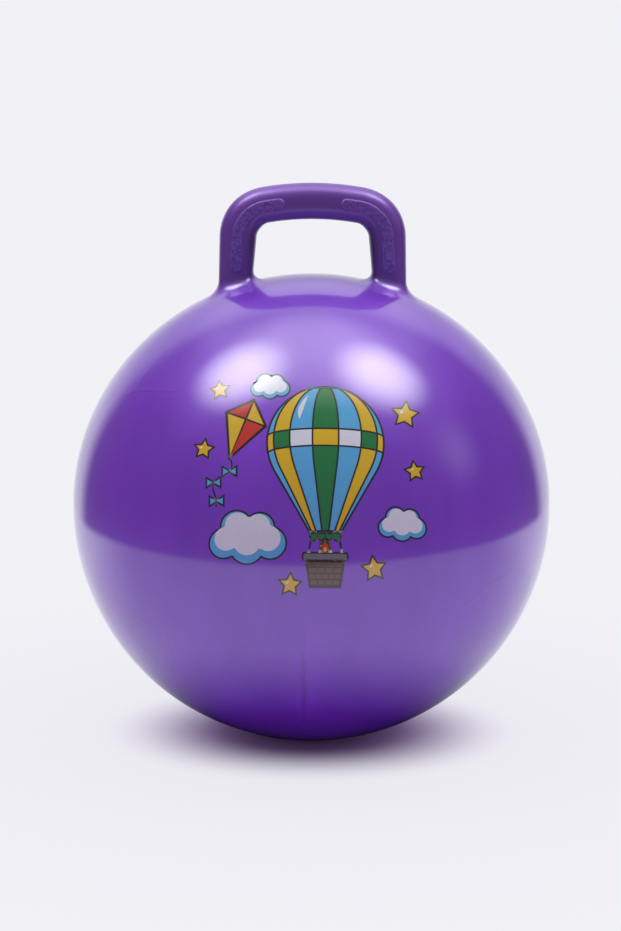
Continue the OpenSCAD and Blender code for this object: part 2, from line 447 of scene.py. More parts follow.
ballSkin = makeBall()
boreValveWell(ballSkin)
shadeSmooth(ballSkin)
finishPiece(ballSkin, skinVinyl, "ball_skin")
print("ball:", len(ballSkin.data.polygons), "faces")


# Print on the front: stencils cut it from thin sheets of ink that follow the skin. Plain numbers are in mm

art = {
    "tilt": 17.8,              # middle of the print, above the equator
    "aside": 3.5,
    "reach": 38,               # sheets cover this much of the skin, in degrees
    "ink": 0.05 * mm,
    "lifts": {"outline": 0.04 * mm, "fill": 0.12 * mm, "glint": 0.2 * mm},
    "line": 1.5,               # width of the dark outlines
    "stencilFrom": -300 * mm,  # the stencils reach from before the ball
    "stencilDeep": 250 * mm,   # to inside it
}
inks = {
    "outline": srgb(34, 30, 40),
    "blue": srgb(86, 176, 228),
    "yellow": srgb(228, 186, 26),
    "green": srgb(14, 128, 66),
    "white": srgb(226, 228, 240),
    "grey": srgb(116, 114, 122),
    "brown": srgb(104, 60, 44),
    "red": srgb(206, 48, 38),
}
shapes = {(layer, colour): [] for layer in ("outline", "fill", "glint") for colour in inks}


def grow(points, d):  # moves an outline outwards, or inwards where d is below 0
    area = sum(a[0] * b[1] - b[0] * a[1] for a, b in zip(points, points[1:] + points[:1]))
    side = 1 if area > 0 else -1
    grown = []
    for i, p in enumerate(points):
        before, after = Vector(points[i - 1]), Vector(points[(i + 1) % len(points)])
        p = Vector(p)
        first, second = (p - before).normalized(), (after - p).normalized()
        n1, n2 = Vector((first.y, -first.x)), Vector((second.y, -second.x))
        middle = (n1 + n2).normalized()
        grown.append(tuple(p + middle * side * d / max(middle.dot(n1), 0.5)))
    return grown


def disc(x, y, wide, high=None, turn=0, steps=36):
    high = high or wide
    ring = []
    for i in range(steps):
        a, b = wide * cosd(360 * i / steps), high * sind(360 * i / steps)
        ring.append((x + a * cosd(turn) - b * sind(turn), y + a * sind(turn) + b * cosd(turn)))
    return ring


def starShape(x, y, r, turn):
    return [
        (x + k * cosd(turn + 36 * i), y + k * sind(turn + 36 * i))
        for i in range(10) for k in [r if i % 2 == 0 else 0.5 * r]
    ]


def cloudShape(x, y, size, puffs, steps=90):  # outside of a heap of discs, seen from its middle
    ring = []
    for i in range(steps):
        c, s = cosd(360 * i / steps), sind(360 * i / steps)
        reach = 0
        for px, py, r in puffs:
            along, off = px * c + py * s, px * s - py * c
            if abs(off) < r:
                reach = max(reach, along + math.sqrt(r * r - off * off))
        ring.append((x + size * reach * c, y + size * reach * s))
    return ring


def ribbon(points, width):  # a line drawn with a brush of that width
    ring = []
    for way in (points, points[::-1]):
        for i, p in enumerate(way):
            ahead = Vector(way[min(i + 1, len(way) - 1)]) - Vector(way[max(i - 1, 0)])
            ahead.normalize()
            ring.append((p[0] + ahead.y * width / 2, p[1] - ahead.x * width / 2))
    return ring


def draw(colour, points, layer="fill"):
    shapes[layer, colour].append(points)


def drawWithLine(colour, points):  # a patch of colour on a larger dark one
    draw("outline", grow(points, art["line"]), "outline")
    draw(colour, points)


def shifted(points, x, y):
    return [(x + u, y + v) for u, v in points]


balloon = {
    "x": 8, "y": 35, "r": 50, "mouth": 13, "taper": 30, "bow": 0.13,
    "seams": (-90, -63, -38, -13, 13, 38, 63, 90),
    "levels": (47, 6, -9),       # cap, band's top and band's foot, from the middle
    "panel": ("blue", "yellow", "blue", "green", "blue", "yellow", "blue"),
    "band": ("yellow", "green", "white", "yellow", "white", "green", "yellow"),
    "rimOut": 0.6,               # in widths of the dark outline, as the next two
    "panelIn": 0.5,
    "capIn": 0.45,
    "shine": {"seam": -28, "top": 39, "foot": 15, "left": 5, "right": 2, "steps": 12},
    "flaps": 4,
    "flapPitch": 6.4,
    "flap": ((-3, -1), (-2.6, -4), (0, -6), (2.6, -4), (3, -1)),
}
straightFrom = -balloon["r"] * sind(balloon["taper"])  # the envelope's sides are straight below this


def envelopeHalf(y):
    r, taper = balloon["r"], balloon["taper"]
    if y > straightFrom:
        return math.sqrt(max(r * r - y * y, 0))
    return r * cosd(taper) - (straightFrom - y) * math.tan(math.radians(taper))


def envelopePoint(seam, y):
    half = envelopeHalf(y)
    return balloon["x"] + half * sind(seam), balloon["y"] + y + half * cosd(seam) * balloon["bow"]


def envelopePanel(a, b, top, foot):  # between two seams
    rows = [top + (foot - top) * k / 14 for k in range(15)]
    across = [a + (b - a) * k / 4 for k in (1, 2, 3)]
    panel = [envelopePoint(b, y) for y in rows] + [envelopePoint(s, foot) for s in across[::-1]]
    return panel + [envelopePoint(a, y) for y in rows[::-1]] + [envelopePoint(s, top) for s in across]


def envelopeShine():
    shine = balloon["shine"]
    steps, long = shine["steps"], shine["top"] - shine["foot"]
    bulge = [sind(180 * k / steps) for k in range(steps + 1)]
    down = [
        envelopePoint(shine["seam"] - shine["left"] * bulge[k], shine["top"] - long * k / steps)
        for k in range(steps + 1)
    ]
    return down + [
        envelopePoint(shine["seam"] + shine["right"] * bulge[k], shine["foot"] + long * k / steps)
        for k in range(1, steps)
    ]


def drawBalloon():
    r, taper, line = balloon["r"], balloon["taper"], art["line"]
    mouthY = straightFrom - (r * cosd(taper) - balloon["mouth"]) / math.tan(math.radians(taper))
    heights = [r * sind(90 - 3 * i) for i in range(41)]
    heights = [y for y in heights if y > straightFrom]
    heights += [straightFrom + (mouthY - straightFrom) * i / 12 for i in range(13)]
    right = [envelopePoint(90, y) for y in heights]
    left = [envelopePoint(-90, y) for y in heights]
    mouth = [envelopePoint(a, mouthY) for a in range(60, -90, -30)]
    draw("outline", grow(right + mouth + left[:0:-1], line * balloon["rimOut"]), "outline")

    levels = [*balloon["levels"], mouthY]
    for i, (a, b) in enumerate(zip(balloon["seams"], balloon["seams"][1:])):
        for j, (top, foot) in enumerate(zip(levels, levels[1:])):
            colour = balloon["band" if j == 1 else "panel"][i]
            draw(colour, grow(envelopePanel(a, b, top, foot), -balloon["panelIn"] * line))
    top = balloon["levels"][0]
    above = [y for y in heights if y > top + 0.3]
    cap = [envelopePoint(a, top) for a in range(-90, 91, 15)]
    cap += [envelopePoint(90, y) for y in above[::-1]] + [envelopePoint(-90, y) for y in above if y < r]
    draw("green", grow(cap, -balloon["capIn"] * line))
    draw("white", envelopeShine(), "glint")

    skirtY = balloon["y"] + mouthY
    for k in range(balloon["flaps"]):
        x = balloon["x"] + (k - (balloon["flaps"] - 1) / 2) * balloon["flapPitch"]
        drawWithLine("green", shifted(balloon["flap"], x, skirtY))
    return skirtY


# Its heights count from the balloon's mouth, and those of the rim, the body and the rows from the rim
basket = {
    "drop": 20,
    "ropes": (-1.5, -0.5, 0.5, 1.5),
    "ropeTop": -5,
    "ropeSpread": (8, 10),       # between ropes, at the top and at the rim
    "ropeWidth": 1.5,
    "flame": ((0, -7), (3, -11), (2.4, -15), (0, -17), (-2.4, -15), (-3, -11)),
    "heart": {"up": -14, "wide": 1.3, "high": 2},
    "rim": ((-18, 2.4), (18, 2.4), (18.72, 0), (18, -2.4), (-18, -2.4), (-18.72, 0)),
    "body": ((-15.5, -4), (15.5, -4), (12.5, -25), (-12.5, -25)),
    "rows": 4,
    "firstRow": 6.4,
    "rowPitch": 5.1,
    "rowHalf": 15,
    "rowTaper": 0.7,
    "cells": (5, 4),             # in even rows and in odd ones
    "cellHalf": 1.9,
    "cellGap": 0.5,
}


def drawBasket(skirtY):
    x, top = balloon["x"], skirtY - basket["drop"]
    high, low = basket["ropeSpread"]
    for side in basket["ropes"]:
        rope = [(x + side * high, skirtY + basket["ropeTop"]), (x + side * low, top)]
        draw("outline", ribbon(rope, basket["ropeWidth"]), "outline")
    drawWithLine("red", shifted(basket["flame"], x, skirtY))
    heart = basket["heart"]
    draw("yellow", disc(x, skirtY + heart["up"], heart["wide"], heart["high"]), "glint")
    drawWithLine("grey", shifted(basket["rim"], x, top))
    draw("outline", grow(shifted(basket["body"], x, top), art["line"]), "outline")
    for row in range(basket["rows"]):
        y = top - basket["firstRow"] - basket["rowPitch"] * row
        half = basket["rowHalf"] - basket["rowTaper"] * row
        cells = basket["cells"][row % 2]
        foot, head = y - basket["cellHalf"], y + basket["cellHalf"]
        for c in range(cells):
            left = x - half + 2 * half * c / cells + basket["cellGap"]
            right = x - half + 2 * half * (c + 1) / cells - basket["cellGap"]
            draw("brown", [(left, foot), (right, foot), (right, head), (left, head)])


kite = {
    "x": -64, "y": 48, "long": 27, "wide": 18, "cross": 9, "turn": 22,
    "panels": ("yellow", "red", "yellow", "red"),
    "panelIn": 0.6,              # in widths of the dark outline
    "tailPoints": 20,
    "tailStep": 2.3,
    "tailSway": 5,
    "tailTurn": 24,              # of its wave, from point to point
    "tailWidth": 1.3,
    "bows": (5, 11, 17),         # at these points of the tail
    "bow": ((0.6, 0), (5.5, 3), (5.5, -3)),
}


def kitePoint(u, v):
    c, s = cosd(kite["turn"]), sind(kite["turn"])
    return kite["x"] + u * c + v * s, kite["y"] - u * s + v * c


def drawKite():
    long, wide, cross = kite["long"], kite["wide"], kite["cross"]
    corners = [kitePoint(0, long), kitePoint(wide, cross), kitePoint(0, -long), kitePoint(-wide, cross)]
    draw("outline", grow(corners[::-1], art["line"]), "outline")
    for i, colour in enumerate(kite["panels"]):
        panel = [kitePoint(0, cross), corners[i], corners[(i + 1) % 4]]
        draw(colour, grow(panel, -kite["panelIn"] * art["line"]))
    tail = [
        kitePoint(kite["tailSway"] * sind(kite["tailTurn"] * k), -long - kite["tailStep"] * k)
        for k in range(kite["tailPoints"])
    ]
    draw("outline", ribbon(tail, kite["tailWidth"]), "outline")
    for k in kite["bows"]:
        for side in (-1, 1):
            half = [(side * u, v) for u, v in kite["bow"]]
            drawWithLine("blue", shifted(half[::side], *tail[k]))


sky = {
    "puffs": ((0, 0, 17), (-20, -5, 12), (20, -5, 13), (-9, 9, 13), (11, 8, 12), (0, -8, 14)),
    "lit": {"wide": 0.9, "high": 0.8, "up": 3, "size": 0.84},  # paler part of a cloud
    "clouds": ((-59, -46, 1.0), (74, -34, 0.62), (-40, 86, 0.5)),
    "stars": (
        (77, 62, 11, 84), (85, 12, 7.5, 100), (-97, 31, 7.5, 80),
        (50, -72, 9.5, 98), (-22, -86, 8.5, 86), (-84, 84, 7.5, 96),
    ),
    "glint": {"left": 0.28, "up": 0.2, "wide": 0.16, "high": 0.1, "turn": 40},  # in shares of a star
}


def drawSky():
    lit, glint = sky["lit"], sky["glint"]
    litPuffs = [(lit["wide"] * x, lit["high"] * y + lit["up"], lit["size"] * r) for x, y, r in sky["puffs"]]
    for x, y, size in sky["clouds"]:
        drawWithLine("blue", cloudShape(x, y, size, sky["puffs"]))
        draw("white", cloudShape(x, y, size, litPuffs), "glint")
    for x, y, r, turn in sky["stars"]:
        drawWithLine("yellow", starShape(x, y, r, turn))
        spotX, spotY = x - glint["left"] * r, y + glint["up"] * r
        draw("white", disc(spotX, spotY, glint["wide"] * r, glint["high"] * r, glint["turn"]), "glint")


artTilt = Matrix.Rotation(-math.radians(art["tilt"]), 4, "X")
artPlace = Matrix.Translation((art["aside"] * mm, 0, equatorZ)) @ artTilt


def copyOf(obj, name):
    twin = bpy.data.objects.new(name, obj.data.copy())
    bpy.context.scene.collection.objects.link(twin)
    return twin


def frontOfSkin():
    obj = copyOf(ballSkin, "frontOfSkin")
    facing = artPlace.to_3x3() @ Vector((0, -1, 0))
    openMesh(obj)
    bpy.ops.mesh.select_mode(type="FACE")
    bpy.ops.mesh.select_all(action="DESELECT")
    closeMesh()
    for face in obj.data.polygons:
        face.select = face.normal.dot(facing) < cosd(art["reach"])
    bpy.ops.object.mode_set(mode="EDIT")
    bpy.ops.mesh.delete(type="FACE")
    closeMesh()
    return obj


def inkSheet(front, name, lift):  # lifted off the skin and given the ink's thickness
    obj = copyOf(front, name)
    pushOut(obj, lambda p: lift)
    applyModifier(obj, "SOLIDIFY", thickness=art["ink"], offset=1)
    return obj


def cutStencil(outlines):  # one upright prism for each outline
    prisms = []
    for points in outlines:
        deselectAll()
        bpy.ops.mesh.primitive_circle_add(vertices=len(points), fill_type="NGON")
        prism = newest("stencil")
        for v, (x, y) in zip(prism.data.vertices, points):
            v.co = (x * mm, art["stencilFrom"], y * mm)
        openMesh(prism)
        bpy.ops.mesh.extrude_region_move(TRANSFORM_OT_translate={"value": (0, art["stencilDeep"], 0)})
        closeMesh()
        mergeAndFaceOut(prism)
        prisms.append(prism)
    deselectAll()
    for prism in prisms:
        prism.select_set(True)
    bpy.context.view_layer.objects.active = prisms[0]
    if len(prisms) > 1:
        bpy.ops.object.join()
    prisms[0].data.transform(artPlace)
    return prisms[0]


inkFinish = {"shades": (0.95, 1.03), "speckleScale": 900, "wearScale": 60, "rough": (0.3, 0.42)}


def makeInk(colour):
    material, tree = newMaterial(colour + "Ink")
    place = objectPlace(tree)
    low, high = [tuple(c * k for c in inks[colour][:3]) + (1,) for k in inkFinish["shades"]]
    speckle = ranged(tree, noiseOn(tree, place, inkFinish["speckleScale"], 2), *narrowSpan)
    wear = noiseOn(tree, place, inkFinish["wearScale"], 4)
    setShader(
        tree, Base_Color=blendColours(tree, speckle, low, high),
        Roughness=ranged(tree, wear, *noiseSpan, *inkFinish["rough"]), Coat_Weight=skinFinish["coat"],
        Coat_Roughness=skinFinish["coatRough"], Coat_IOR=skinFinish["coatIor"],
    )
    return material


def makePrint():
    drawBasket(drawBalloon())
    drawKite()
    drawSky()
    finishes = {colour: makeInk(colour) for colour in inks}
    front = frontOfSkin()
    for (layer, colour), outlines in shapes.items():
        if outlines:
            name = "print" + colour.title() + ("" if layer in (colour, "fill") else layer.title())
            patch = inkSheet(front, name, art["lifts"][layer])
            stencil = cutStencil(outlines)
            applyModifier(
                patch, "BOOLEAN", operation="INTERSECT", object=stencil, solver="EXACT", use_self=True
            )
            bpy.data.objects.remove(stencil)
            shadeSmooth(patch, angle=40)
            finishPiece(patch, finishes[colour])
            print("print:", name, len(patch.data.polygons), "faces")
    bpy.data.objects.remove(front)


makePrint()


# Handle loop: rings of a rounded oblong, from the right leg's fillet over the bar to the left one

loop = {
    "barRise": 68.75 * mm,
    "legSpan": 142 * mm,
    "legLean": 3,
    "archR": 260 * mm,
    "bendR": 31 * mm,
    "width": 33 * mm,
    "depth": 34 * mm,
    "bendSwell": 0.5 * mm,
    "legSwell": 0.5 * mm,
    "legSlim": 1.25 * mm,
    "square": 2.6,          # section, where 2 is an ellipse
    "rootRise": 11.5 * mm,
    "rootReach": 15 * mm,
    "rootSink": 0.05 * mm,  # the fillet's edge runs out just under the skin
    "rootTail": 1.12,       # how gently it runs out
    "sides": 120,
    "rootRings": 26,
    "legRings": 10,
    "bendRings": 26,
    "barRings": 14,         # to mid-bar
    "partingHeight": 0.15 * mm,
}


def outward(a):
    return Vector((cosd(a), 0, sind(a)))


lean = loop["legLean"]
barMid = Vector((0, 0, crownZ + loop["barRise"] - loop["archR"]))
archLessBend = loop["archR"] - loop["bendR"]
legOut = loop["legSpan"] / 2 * cosd(lean) - loop["bendR"] - (loop["barRise"] - loop["archR"]) * sind(lean)
barHalf = math.degrees(math.asin(legOut / archLessBend)) - lean
bendEnd = 90 - barHalf
bendMid = barMid + archLessBend * outward(bendEnd)
legUp = Vector((-sind(lean), 0, cosd(lean)))


def loopPoint(a):  # centre-line of the right half, by the direction of its outward side
    if a < bendEnd:
        return bendMid + loop["bendR"] * outward(a)
    return barMid + loop["archR"] * outward(a)


def halfWidth(a):
    way = min((a - lean) / (bendEnd - lean), 1)
    half = loop["width"] / 2 + loop["legSwell"] * cosd(90 * way) ** 2
    return half + loop["bendSwell"] * sind(180 * way) ** 2


def softPower(x, p):
    return math.copysign(abs(x) ** p, x)


def sectionPoint(a, side, wider):  # side counts round the section from the loop's outside
    turn = 360 * side / loop["sides"]
    p = 2 / loop["square"]
    u = (halfWidth(a) + wider) * softPower(cosd(turn), p)
    v = (loop["depth"] / 2 + wider) * softPower(sind(turn), p)
    if side % (loop["sides"] // 2) == 0:
        u += math.copysign(loop["partingHeight"], u)
    return loopPoint(a) + u * outward(a) + Vector((0, v, 0))


def wayToSkin(point):  # along the leg, down to the ball
    d = point - crownMid
    along = d.dot(legUp)
    return math.sqrt(along ** 2 - d.dot(d) + crownR ** 2) - along


def rootPoint(side, wider, lift):
    q = sectionPoint(lean, side, wider)
    return q + (wayToSkin(q) + lift) * legUp


def filletPoint(side, t):  # t runs down the fillet, 0 at its top
    wider = loop["rootReach"] * (1 - cosd(90 * t)) - loop["legSlim"]
    drop = (1 - sind(90 * t)) ** loop["rootTail"]
    return rootPoint(side, wider, (loop["rootRise"] + loop["rootSink"]) * drop - loop["rootSink"])


def loopHalf():  # point functions of the right half's rings, from the ball to mid-bar
    rings = [lambda j, t=1 - i / loop["rootRings"]: filletPoint(j, t) for i in range(loop["rootRings"] + 1)]
    for i in range(1, loop["legRings"]):
        k = i / loop["legRings"]
        rings.append(lambda j, k=k: filletPoint(j, 0).lerp(sectionPoint(lean, j, 0), k))
    for i in range(loop["bendRings"]):
        a = lean + (bendEnd - lean) * i / loop["bendRings"]
        rings.append(lambda j, a=a: sectionPoint(a, j, 0))
    for i in range(loop["barRings"] + 1):
        a = bendEnd + barHalf * i / loop["barRings"]
        rings.append(lambda j, a=a: sectionPoint(a, j, 0))
    return rings


def makeLoop():
    half = loopHalf()
    last = 2 * (len(half) - 1)

    def place(i, j):
        p = half[min(i, last - i)](j % loop["sides"])
        return p if 2 * i <= last else Vector((-p.x, p.y, p.z))

    return rollGrid("handleLoop", last, loop["sides"], place)


handleLoop = makeLoop()
shadeSmooth(handleLoop, angle=60)
finishPiece(handleLoop, makeVinyl("loopVinyl", loopFinish), "handle_loop")
print("loop:", len(handleLoop.data.polygons), "faces")


# Grip pads: pebbled strips on the front and rear faces of the loop's shoulders

pad = {
    "width": 11.5 * mm,
    "height": 1.4 * mm,
    "space": 51 * mm,              # between left and right pads at mid-bar
    "foot": 4 * mm,                # lower end, above the crown
    "sink": 0.15 * mm,
    "wall": 0.5 * mm,
    "edge": 8,                     # higher for a squarer edge
    "pebblePitch": 1.5 * mm,
    "pebbleHeight": 0.42 * mm,
    "pebbleR": 0.62 * mm,
    "pebbleSizes": (0.75, 1.15),
    "pebbleColumns": 5,            # to each side of the middle one
    "pebbleRow": 0.866,            # from row to row, in pitches
    "jitter": 0.16,                # in pitches too
    "seed": 20,
    "rim": (0.44 * mm, 1.1 * mm),  # border: plain to here, and pebbled from there
    "along": 280,
    "across": 32,
}


def legFaceRun(u):
    face = loopPoint(lean) + u * outward(lean) - Vector((0, loop["depth"] / 2 - loop["legSlim"], 0))
    return -wayToSkin(face) - loop["rootRise"]


def faceDepth(a, u, slim):
    p = loop["square"]
    across = abs(u / (halfWidth(a) - slim))
    return (loop["depth"] / 2 - slim) * (1 - across ** p) ** (1 / p)


legRun = (loopPoint(lean).z - crownZ - pad["foot"]) / cosd(lean)
bendRun = math.radians(bendEnd - lean) * loop["bendR"]
barEnd = math.degrees(math.acos(pad["space"] / 2 / loop["archR"]))
padLength = legRun + bendRun + math.radians(barEnd - bendEnd) * loop["archR"]


def padBase(run, u):  # point on the loop's front face, at a run from the pad's lower end
    if run < legRun:
        below = legRun - run
        depth = faceDepth(lean, u, loop["legSlim"] * below / legFaceRun(u))
        return loopPoint(lean) + u * outward(lean) - below * legUp - Vector((0, depth, 0))
    if run < legRun + bendRun:
        a = lean + math.degrees((run - legRun) / loop["bendR"])
    else:
        a = bendEnd + math.degrees((run - legRun - bendRun) / loop["archR"])
    return loopPoint(a) + u * outward(a) - Vector((0, faceDepth(a, u, 0), 0))


def scatterPebbles(seed):  # a jittered honeycomb over the pad's flat length
    dice = random.Random(seed)
    pitch, row, jitter = pad["pebblePitch"], pad["pebbleRow"], pad["jitter"]
    columns = range(-pad["pebbleColumns"], pad["pebbleColumns"] + 1)
    rows = {}
    for r in range(-1, int(padLength / pitch / row) + 2):
        for c in columns:
            x = (r * row + dice.uniform(-jitter, jitter)) * pitch
            y = (c + 0.5 * (r % 2) + dice.uniform(-jitter, jitter)) * pitch
            rows.setdefault(r, []).append((x, y, dice.uniform(*pad["pebbleSizes"])))
    return rows


def pebble(rows, run, u):
    row = round(run / pad["pebblePitch"] / pad["pebbleRow"])
    best = 0
    for r in (row - 1, row, row + 1):
        for x, y, size in rows.get(r, ()):
            near = ((run - x) ** 2 + (u - y) ** 2) / (pad["pebbleR"] * size) ** 2
            if near < 1:
                best = max(best, (1 - near) * size)
    return best * pad["pebbleHeight"]


def makePad(name, side, face, seed):
    rows = scatterPebbles(seed)
    half = pad["width"] / 2

    def place(i, j):
        run = padLength * i / pad["along"]
        fromEnd = min(run, padLength - run)
        wide = half if fromEnd > half else math.sqrt(max(half ** 2 - (half - fromEnd) ** 2, 0))
        u = wide * math.sin(math.pi / 2 * (2 * j / pad["across"] - 1))
        toMiddle = math.hypot(u, max(half - fromEnd, 0)) / half
        dome = (1 - min(toMiddle, 1) ** pad["edge"]) ** 0.5
        lift = (pad["height"] + pad["sink"]) * dome - pad["sink"]
        lift += pebble(rows, run, u) * softStep(half * (1 - toMiddle), *pad["rim"])
        p = padBase(run, u)
        return Vector((side * p.x, -face * (p.y - lift), p.z))

    obj = rollGrid(name, pad["along"], pad["across"], place)
    middle = obj.data.polygons[len(obj.data.polygons) // 2]
    if middle.normal.y * face < 0:
        openMesh(obj)
        bpy.ops.mesh.flip_normals()
        closeMesh()
    applyModifier(obj, "SOLIDIFY", thickness=pad["wall"], offset=-1)
    shadeSmooth(obj, angle=60)
    return obj


padFinish = {
    "deep": srgb(94, 52, 154),
    "light": srgb(124, 82, 184),
    "rough": (0.32, 0.42),
    "speckleScale": 420,
    "grainScale": 1500,
    "grainHeight": 0.05 * mm,
    "grainStrength": 0.6,
    "coat": 0.6,
    "coatRough": 0.2,
}


def makePadVinyl():
    material, tree = newMaterial("gripVinyl")
    place = objectPlace(tree)
    speckle = noiseOn(tree, place, padFinish["speckleScale"])
    spots = ranged(tree, speckle, *narrowSpan)
    grain = noiseOn(tree, place, padFinish["grainScale"], 2)
    setShader(
        tree, Base_Color=blendColours(tree, spots, padFinish["deep"], padFinish["light"]),
        Roughness=ranged(tree, speckle, *noiseSpan, *padFinish["rough"]),
        Normal=bumpFrom(tree, grain, padFinish["grainHeight"], padFinish["grainStrength"]),
        Coat_Weight=padFinish["coat"], Coat_Roughness=padFinish["coatRough"],
    )
    return material


gripVinyl = makePadVinyl()
seed = pad["seed"]
for faceName, face in (("front", -1), ("rear", 1)):
    for sideName, side in (("left", -1), ("right", 1)):
        grip = makePad(faceName + sideName.title() + "Grip", side, face, seed)
        finishPiece(grip, gripVinyl, f"{faceName}_{sideName}_grip")
        seed += 1
print("grip pads made")


# Valve: the CAD's seat and plug, with their own finish

plugFinish = {
    "deep": srgb(216, 215, 222),
    "light": srgb(226, 225, 231),
    "cloudScale": 160,
    "rough": (0.28, 0.4),
    "smearScale": 600,
    "grainScale": 1400,
    "grainHeight": 0.03 * mm,
    "grainStrength": 0.5,
    "glow": 0.15,              # light that passes under its surface, and how deep
    "glowDeep": 2 * mm,
}


def makePlugWhite():
    material, tree = newMaterial("plugWhite")
    place = objectPlace(tree)
    cloudy = noiseOn(tree, place, plugFinish["cloudScale"])
    smear = noiseOn(tree, place, plugFinish["smearScale"])
    grain = noiseOn(tree, place, plugFinish["grainScale"], 2)
    setShader(
        tree, Base_Color=blendColours(tree, cloudy, plugFinish["deep"], plugFinish["light"]),
        Roughness=ranged(tree, smear, *noiseSpan, *plugFinish["rough"]),
        Normal=bumpFrom(tree, grain, plugFinish["grainHeight"], plugFinish["grainStrength"]),
        Subsurface_Weight=plugFinish["glow"], Subsurface_Scale=plugFinish["glowDeep"],
    )
    return material


for nodeName, finish in (("valve_seat", skinVinyl), ("valve_plug", makePlugWhite())):
    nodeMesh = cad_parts[nodeName].data
    nodeMesh.materials.clear()
    nodeMesh.materials.append(finish)
print("valve finished")


# Stage: camera at the photograph's place, pale floor and soft studio light

camera = {
    "distance": 2.2,       # from the middle of the ball
    "elevation": 13,
    "pitch": -12.03,
    "roll": -0.24,
    "aside": -0.00305,
    "lens": 89.65,
}


def makeCamera():
    data = bpy.data.cameras.new("photoCamera")
    data.lens = camera["lens"]
    obj = bpy.data.objects.new("photoCamera", data)
    bpy.context.scene.collection.objects.link(obj)
    reach = camera["distance"] * cosd(camera["elevation"])
    height = camera["distance"] * sind(camera["elevation"])
    obj.location = (camera["aside"], -reach, equatorZ + height)
    obj.rotation_euler = (math.radians(90 + camera["pitch"]), math.radians(camera["roll"]), 0)
    bpy.context.scene.camera = obj


studio = {
    "background": (0.88, 0.88, 0.92, 1),
    "front": (0.1, 0.068, 0.072, 1),   # what gloss shows of the room before the ball
    "behind": (0.9, 0.9, 0.94, 1),     # and of the backdrop, low down
    "above": (0.52, 0.52, 0.56, 1),    # and from this height up
    "aboveFrom": 0.28,
    "backdrop": (0.7, 0.82),           # from this much towards the rear
    "sweep": 0.2,                      # how far the backdrop leans over the ball
    "soft": (0.385, 0.385, 0.41, 1),   # light that fills the shadows
}


def mixShaders(tree, factor, low, high):
    mix = addNode(tree, "ShaderNodeMixShader")
    for socket, value in zip(mix.inputs, (factor, low, high)):
        feed(tree, socket, value)
    return mix.outputs[0]


def setSurface(tree, surface):
    feed(tree, tree.nodes["Material Output"].inputs["Surface"], surface)


floor = {
    "middle": Vector((0.1, 0.05, 0)),
    "radius": 1.15,
    "sides": 96,
    "fade": 0.14,              # the sheet fades out over this width
    # its purple tint is painted bounce light from the ball, seen in the ball's shadow; it also colours the
    # light the floor throws back
    "colour": (0.93, 0.6, 1.0, 1),
    "rough": 0.55,
    "shadow": (0.078, 0.208),  # painted glow covers the floor's real shading beyond these distances, so the ball's shadow thins out over them
    "shadowDeep": 1.35,        # and is this much shorter to the front and rear
    "shadowFront": 0.009,      # of a middle that lies this far to the front
    "lit": 0.92,               # share of painted glow just outside the shadow
    "litFar": (0.2, 0.8),      # over these distances it becomes as pale as the backdrop
    "mirrored": (0.09, 0.265),                # gloss shows the floor's glow from these distances, dimmed nearer in: a painted shadow
    "mirroredLeast": 0.005,
    "mirroredFront": 0.045,                   # about a middle that lies this far to the front
    "paintedReflectionLevel": (-0.1, 0.3, 0.62, 1.1),  # and how bright, from front to rear: painted light, brighter to the rear
}


def paintedFloorGlowShare(tree, place):  # share of painted glow over the floor's real shading: 0 in the middle of the ball's shadow, and its reach sets where the shadow fades
    deep = floor["shadowDeep"]
    middle = (0, deep * floor["shadowFront"], 0)
    deepened = addNode(tree, "ShaderNodeMapping", Vector=place, Location=middle, Scale=(1, deep, 1))
    fromShadow = onVectors(tree, "LENGTH", deepened.outputs[0])
    near = ranged(tree, fromShadow, *floor["shadow"], 0, floor["lit"], soft=True)
    far = ranged(tree, fromShadow, *floor["litFar"], 0, 1 - floor["lit"])
    return calculate(tree, "ADD", near, far)


def floorGlowWithPaintedShade(tree, place, cameraRay):  # the floor's glow: full strength to the camera; to gloss it is dimmed near the ball, a painted shadow, and painted brighter to the rear
    fromBall = onVectors(tree, "DISTANCE", place, (0, -floor["mirroredFront"], 0))
    mirrored = ranged(tree, fromBall, *floor["mirrored"], floor["mirroredLeast"], 1, soft=True)
    toRear = addNode(tree, "ShaderNodeSeparateXYZ", Vector=place).outputs["Y"]
    level = ranged(tree, toRear, *floor["paintedReflectionLevel"])
    strength = addNode(tree, "ShaderNodeMix")
    for index, value in ((0, cameraRay), (2, calculate(tree, "MULTIPLY", mirrored, level)), (3, 1)):
        feed(tree, strength.inputs[index], value)
    paper = addNode(tree, "ShaderNodeEmission", Color=studio["background"], Strength=strength.outputs[0])
    return paper.outputs[0]


def makeFloor():
    deselectAll()
    bpy.ops.mesh.primitive_circle_add(vertices=floor["sides"], radius=floor["radius"], fill_type="NGON")
    obj = newest("studioFloor")
    for v in obj.data.vertices:
        v.co += floor["middle"]
    material, tree = newMaterial("paleFloor")
    setShader(tree, Base_Color=floor["colour"], Roughness=floor["rough"])
    place = objectPlace(tree)
    rays = addNode(tree, "ShaderNodeLightPath").outputs
    # to the camera, painted glow covers the floor's real shading outside the ball's shadow
    seen = calculate(tree, "MULTIPLY", paintedFloorGlowShare(tree, place), rays["Is Camera Ray"])
    # gloss always sees the glow, with its painted shadow
    pale = calculate(tree, "MAXIMUM", seen, rays["Is Glossy Ray"])
    sheet = tree.nodes["Principled BSDF"].outputs[0]
    sheet = mixShaders(tree, pale, sheet, floorGlowWithPaintedShade(tree, place, rays["Is Camera Ray"]))
    fromMiddle = onVectors(tree, "DISTANCE", place, floor["middle"])
    fromEdge = calculate(tree, "SUBTRACT", floor["radius"], fromMiddle)
    clear = addNode(tree, "ShaderNodeBsdfTransparent").outputs[0]
    setSurface(tree, mixShaders(tree, ranged(tree, fromEdge, 0, floor["fade"]), clear, sheet))
    obj.data.materials.append(material)


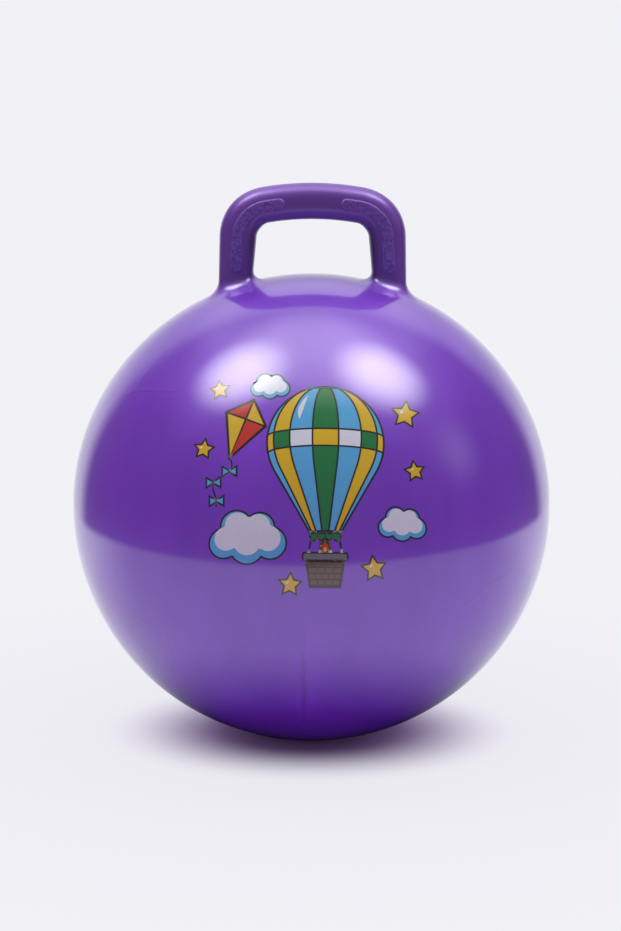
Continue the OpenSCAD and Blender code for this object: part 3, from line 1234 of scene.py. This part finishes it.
def makeWorld():
    world = bpy.data.worlds.new("studio")
    bpy.context.scene.world = world
    world.use_nodes = True
    tree = world.node_tree
    towards = addNode(tree, "ShaderNodeTexCoord").outputs["Generated"]
    axes = addNode(tree, "ShaderNodeSeparateXYZ", Vector=towards).outputs
    over = calculate(tree, "MULTIPLY", calculate(tree, "MAXIMUM", axes["Z"], 0), studio["sweep"])
    backdrop = ranged(tree, calculate(tree, "ADD", axes["Y"], over), *studio["backdrop"])
    climb = ranged(tree, axes["Z"], 0, studio["aboveFrom"])
    rear = blendColours(tree, climb, studio["behind"], studio["above"])
    mirrored = blendColours(tree, backdrop, studio["front"], rear)
    rays = addNode(tree, "ShaderNodeLightPath").outputs
    shown = blendColours(tree, rays["Is Glossy Ray"], studio["soft"], mirrored)
    seen = blendColours(tree, rays["Is Camera Ray"], shown, studio["background"])
    feed(tree, tree.nodes["Background"].inputs["Color"], seen)


softboxSides = 64
softboxes = {
    "left": {"place": (-0.66, -0.15, 1.58), "radius": 0.6, "strength": 4.5, "core": 0.15},
    "right": {"place": (0.65, -0.18, 1.59), "radius": 0.6, "strength": 4.5, "core": 0.15},
    "overhead": {"place": (0, -0.02, 1.765), "radius": 1.0, "strength": 0.92, "core": 0.35},
    "ceiling": {"place": (0, 0.7, 1.634), "radius": 1.25, "strength": 0.29, "core": 0.6},
    "window": {"place": (1.56, -0.345, 0.96), "radius": 0.55, "strength": 0.38, "core": 0.0},
}


def makeSoftbox(name, box):  # a glowing disc that fades from its core to its edge
    deselectAll()
    bpy.ops.mesh.primitive_circle_add(vertices=softboxSides, radius=box["radius"], fill_type="NGON")
    obj = newest(name + "Softbox")
    material, tree = newMaterial(name + "Glow")
    fromMiddle = onVectors(tree, "LENGTH", objectPlace(tree))
    fade = ranged(tree, fromMiddle, box["core"] * box["radius"], box["radius"], 1, 0, soft=True)
    glow = addNode(tree, "ShaderNodeEmission", Strength=calculate(tree, "MULTIPLY", fade, box["strength"]))
    both = addNode(tree, "ShaderNodeAddShader")  # light from behind passes too
    feed(tree, both.inputs[0], glow.outputs[0])
    feed(tree, both.inputs[1], addNode(tree, "ShaderNodeBsdfTransparent").outputs[0])
    setSurface(tree, both.outputs[0])
    obj.data.materials.append(material)
    obj.location = box["place"]
    toBall = Vector((0, 0, equatorZ)) - obj.location
    obj.rotation_euler = toBall.to_track_quat("-Z", "Y").to_euler()
    obj.visible_camera = False


makeCamera()
makeFloor()
makeWorld()
for boxName, softbox in softboxes.items():
    makeSoftbox(boxName, softbox)
bpy.context.scene.view_settings.view_transform = "Standard"
print("stage set")
